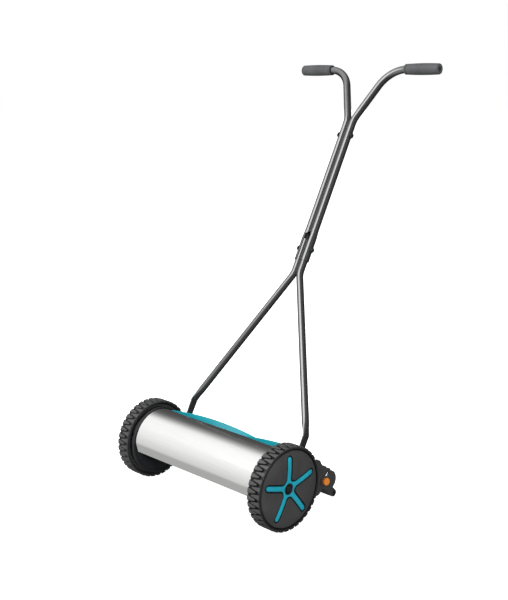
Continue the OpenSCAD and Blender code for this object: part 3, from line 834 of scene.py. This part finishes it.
def dome_profile(x):
    """A flanged, domed bolt head or cap nut from its seat at x."""
    profile = [(0, x), (DOME_FLANGE_R, x), (DOME_FLANGE_R, x + 0.8),
        (DOME_FLANGE_R - 0.5, x + 1.3), (DOME_R, x + DOME_FOOT)]
    for turn in steps(0, 90, 8)[1:]:
        p, q = polar(1, turn)
        profile.append((DOME_R * p, x + DOME_FOOT + (DOME_H - DOME_FOOT) * q))
    return profile


def handle_lathe(profile, s, side, count=40):
    """Turns a profile about an axis across the handle at s."""
    rings = []
    for r, x in profile:
        around = [polar(r, 360 * i / count) for i in range(count)]
        rings.append([on_handle(side * x, s + p, q) for p, q in around])
    return loft(rings)


def handle_fixings():
    """The two cross bolts with domed heads on the left and cap nuts on the right."""
    heads, nuts = [], []
    for s, seat in ((LOWER_BOLT, UPPER_X + CUP_R), (UPPER_BOLT, UPPER_X + TUBE_R)):
        heads.append(handle_lathe(dome_profile(seat - 0.3), s, 1))
        nuts.append(handle_lathe(dome_profile(seat - 0.3), s, -1))
        shank = [(0, -seat), (SHANK_R, -seat), (SHANK_R, seat), (0, seat)]
        heads.append(handle_lathe(shank, s, 1))
    piece("handle_bolt_heads", joined(*heads), "black_plastic", "handle", "handle_bolts")
    piece("handle_cap_nuts", joined(*nuts), "black_plastic", "handle", "handle_nuts")


handle_fixings()


# ------------------------------------------------------------------ reel

BLADE_TWIST = -0.265
CREST_X = 107.5
BLADE_DEPTH = 17
BLADE_T = 2.6
REEL_HALF = high_x("reel_blade_1")


def blade_turn(index, x):
    """A blade's angle at x, in degrees. The fifth is at its highest at CREST_X."""
    return 90 + BLADE_TWIST * (x - CREST_X) + 360 / BLADES * index


def reel_blade(index):
    """A helical blade with eased edges and a ground cutting corner."""
    inner, outer = REEL_R - BLADE_DEPTH, REEL_R
    half = BLADE_T / 2
    section = [(inner + 0.5, -half), (outer - 0.25, -half), (outer, 0.25 - half),
        (outer - 0.3, half - 0.1), (outer - 0.8, half), (inner + 0.5, half),
        (inner, half - 0.5), (inner, 0.5 - half)]
    rings = []
    for x in steps(-REEL_HALF, REEL_HALF, 120):
        ring = []
        for r, t in section:
            y, z = polar(r, blade_turn(index, x) + math.degrees(t / r))
            ring.append(world(x, REEL_Y + y, REEL_Z + z))
        rings.append(ring)
    piece(f"reel_blade_{index}_helix", loft(rings, capped=True), "teal_paint", "reel",
        f"reel_blade_{index}")


for blade in range(1, BLADES + 1):
    reel_blade(blade)


# ------------------------------------------------------------------ gear covers

GEAR_COVER_R = 86
GEAR_COVER_BORE_R = 8.05


def gear_cover(name, side):
    """The round cover inside a wheel: a raised rim, a shallow web and a hub boss."""
    inner = low_x(f"gear_cover_{name}") if side > 0 else -high_x(f"gear_cover_{name}")
    outer = high_x(f"gear_cover_{name}") if side > 0 else -low_x(f"gear_cover_{name}")
    profile = [(GEAR_COVER_BORE_R, inner), (GEAR_COVER_R - 6.5, inner),
        (GEAR_COVER_R - 6, inner - 0.8), (GEAR_COVER_R - 4.8, inner - 1.6),
        (GEAR_COVER_R - 2, inner - 1.6),
        (GEAR_COVER_R - 0.8, inner - 1), (GEAR_COVER_R, inner + 0.4),
        (GEAR_COVER_R, outer - 0.8), (GEAR_COVER_R - 0.8, outer),
        (GEAR_COVER_R - 7, outer), (GEAR_COVER_R - 8, outer - 1),
        (24, outer - 1), (23, outer), (GEAR_COVER_BORE_R, outer)]
    piece(f"gear_cover_{name}_shell", lathe(profile, 0, AXLE_Z, side, closed=True,
        count=144), "black_plastic", "chassis", f"gear_cover_{name}")


for side_name, side_sign in SIDES.items():
    gear_cover(side_name, side_sign)

# In the photo the polished cover stays bright up to its far end
for far_piece in ("wheel_rim_right_shell", "tyre_right_tread", "gear_cover_right_shell"):
    bpy.data.objects[far_piece].visible_glossy = False


# ------------------------------------------------------------------ height adjuster

KNOB_FLUTES = 8
KNOB_LEVELS = [(0.55, 0), (0.9, 0), (0.97, 0.4), (1, 1), (1, 9), (0.97, 11), (0.9, 12.6),
    (0.76, 13.6), (0.5, 14), (0.2, 14)]


def height_knob(name, side):
    """A fluted clamp knob with a domed end."""
    knob = middle(f"height_knob_{name}")
    low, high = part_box(f"height_knob_{name}")
    start, end = sorted((abs(low.x) / MM, abs(high.x) / MM))
    r = (high.z - low.z) / 2 / MM
    y0, z0 = (knob.y - AXLE_Y) / MM, knob.z / MM
    count = KNOB_FLUTES * 10
    tall = KNOB_LEVELS[-1][1]
    rings = []
    for share, along in KNOB_LEVELS:
        x = start + along / tall * (end - start)
        ring = []
        for i in range(count):
            wave = 0.5 + 0.5 * math.cos(2 * math.pi * KNOB_FLUTES * i / count)
            flute = 1.3 * wave ** 2 if share > 0.85 else 0.5 * wave ** 2 * share
            y, z = polar(r * share - flute, 360 * i / count)
            ring.append(world(side * x, y0 + y, z0 + z))
        rings.append(ring)
    piece(f"height_knob_{name}_cap", loft(rings, capped=True), "orange_plastic",
        f"knob_{name}", f"height_knob_{name}")


for side_name, side_sign in SIDES.items():
    height_knob(side_name, side_sign)


# ------------------------------------------------------------------ other CAD nodes

def paint_cad_nodes():
    """Every CAD node that still shows gets the material of its slot."""
    slots = {row["node"]: row["material_slot"] for row in frame["record"]["subparts"]}
    for name, shown in frame["nodes"].items():
        if shown.hide_render:
            continue
        shown.data.materials.clear()
        shown.data.materials.append(MATERIALS[slots[name]])


paint_cad_nodes()


# ------------------------------------------------------------------ camera, light and floor

# The photo's own view, solved together with the mower's size
CAMERA_AT = (1.7098, -1.7804, 0.9904)
CAMERA_DOWN = 12.085
CAMERA_TURN = 45.47
CAMERA_LENS = 60.45
FLOOR_HALF = 30


def camera():
    data = bpy.data.cameras.new("camera")
    data.lens = CAMERA_LENS
    data.sensor_width = 36
    made = bpy.data.objects.new("camera", data)
    made.location = CAMERA_AT
    made.rotation_euler = (math.radians(90 - CAMERA_DOWN), 0, math.radians(CAMERA_TURN))
    bpy.context.scene.collection.objects.link(made)
    bpy.context.scene.camera = made


def softbox(name, place, aim, size, power, reflected=True):
    """An area light at place, turned towards aim."""
    data = bpy.data.lights.new(name, "AREA")
    data.shape = "RECTANGLE"
    data.size, data.size_y = size
    data.energy = power
    made = bpy.data.objects.new(name, data)
    made.location = place
    way = Vector(aim) - Vector(place)
    made.rotation_euler = way.to_track_quat("-Z", "Y").to_euler()
    made.visible_glossy = reflected
    bpy.context.scene.collection.objects.link(made)


def floor():
    """A wide, pale, plain floor that fades into the background."""
    half = FLOOR_HALF
    points = [(-half, -half, 0), (half, -half, 0), (half, half, 0), (-half, half, 0)]
    mesh = bpy.data.meshes.new("floor")
    mesh.from_pydata(points, [], [(0, 1, 2, 3)])
    material, tree, shader = new_material("floor_white", 0.9, specular=0.0)
    shade = ramp(tree, noise(tree, 3), (0.90, 0.90, 0.90), (0.92, 0.92, 0.92))
    tree.links.new(shade, shader.inputs["Base Color"])
    shader.inputs["Emission Color"].default_value = (1, 1, 1, 1)
    shader.inputs["Emission Strength"].default_value = 1.0
    mesh.materials.append(material)
    made = bpy.data.objects.new("floor", mesh)
    made.visible_glossy = False
    made.visible_diffuse = False
    bpy.context.scene.collection.objects.link(made)


# Brightness of the reflected studio by the angle about the X axis, in degrees: 0 is the
# back horizon, 90 straight up and 180 the front horizon
REFLECTED = [(-85, 0.05), (-30, 0.06), (21, 0.068), (37, 0.1), (51, 0.135), (67, 0.44),
    (83, 1.03), (96, 1.14), (133, 1.14), (149, 1.06), (165, 1.02), (181, 0.89), (198, 0.78),
    (236, 0.5), (255, 0.3), (269, 0.08)]
# The share of it that is left by the direction's X
SIDEWAYS = [(-1, 0.08), (-0.93, 0.3), (-0.86, 0.85), (-0.75, 1), (-0.7, 1), (-0.1, 1),
    (0.15, 0.6), (0.4, 0.12), (1, 0.12)]
# A colour ramp holds levels up to 1, so they are divided by this and scaled up again
BRIGHTEST = 1.2
DOME_LEVEL = 0.55


def studio_world():
    """White to the camera, a soft dome for matt surfaces and a studio to reflect."""
    scene = bpy.context.scene
    scene.world = bpy.data.worlds.new("studio")
    scene.world.use_nodes = True
    tree = scene.world.node_tree
    tree.nodes.clear()
    place = node(tree, "ShaderNodeTexCoord")
    parts = node(tree, "ShaderNodeSeparateXYZ")
    tree.links.new(place.outputs["Generated"], parts.inputs["Vector"])

    def calc(kind, a, b=0.0, c=0.0):
        made = node(tree, "ShaderNodeMath", operation=kind)
        for socket, value in zip(made.inputs, (a, b, c)):
            if isinstance(value, (int, float)):
                socket.default_value = value
            else:
                tree.links.new(value, socket)
        return made.outputs[0]

    def bands(value, stops):
        made = node(tree, "ShaderNodeValToRGB")
        row = made.color_ramp.elements
        while len(row) < len(stops):
            row.new(0.5)
        for stop, (at, level) in zip(row, stops):
            stop.position = at
            stop.color = (level, level, level, 1)
        tree.links.new(value, made.inputs["Fac"])
        return made.outputs["Color"]

    x, y, z = parts.outputs
    climb = calc("ARCTAN2", z, y)
    round_x = calc("MULTIPLY_ADD", climb, 0.5 / math.pi, 0.25)
    round_x = calc("FRACT", calc("ADD", round_x, 1))
    over = bands(round_x,
        [((turn + 90) / 360, level / BRIGHTEST) for turn, level in REFLECTED])
    across = bands(calc("MULTIPLY_ADD", x, 0.5, 0.5),
        [((at + 1) / 2, share) for at, share in SIDEWAYS])
    light = calc("MULTIPLY", calc("MULTIPLY", over, across), BRIGHTEST)
    gloss = node(tree, "ShaderNodeBackground")
    gloss.inputs["Color"].default_value = (1.0, 0.995, 0.985, 1)
    tree.links.new(light, gloss.inputs["Strength"])
    dome = node(tree, "ShaderNodeBackground")
    dome.inputs["Color"].default_value = (1, 1, 1, 1)
    dome.inputs["Strength"].default_value = DOME_LEVEL
    white = node(tree, "ShaderNodeBackground")
    white.inputs["Color"].default_value = (1, 1, 1, 1)
    path = node(tree, "ShaderNodeLightPath")
    soft = node(tree, "ShaderNodeMixShader")
    choose = node(tree, "ShaderNodeMixShader")
    end = node(tree, "ShaderNodeOutputWorld")
    tree.links.new(path.outputs["Is Glossy Ray"], soft.inputs["Fac"])
    tree.links.new(dome.outputs[0], soft.inputs[1])
    tree.links.new(gloss.outputs[0], soft.inputs[2])
    tree.links.new(path.outputs["Is Camera Ray"], choose.inputs["Fac"])
    tree.links.new(soft.outputs[0], choose.inputs[1])
    tree.links.new(white.outputs[0], choose.inputs[2])
    tree.links.new(choose.outputs[0], end.inputs["Surface"])


camera()
floor()
studio_world()
softbox("key", (-0.5, -2.1, 2.5), (0, 0.1, 0.6), (2.3, 2.2), 40)
softbox("grazing_fill", (1.3, -2.3, 2.3), (0.25, -0.2, 0.1), (1.2, 1.2), 44,
    reflected=False)
softbox("side_fill", (2.6, -1.6, 1.6), (0.2, -0.2, 0.2), (1.6, 1.6), 40,
    reflected=False)
bpy.context.scene.view_settings.view_transform = "Standard"
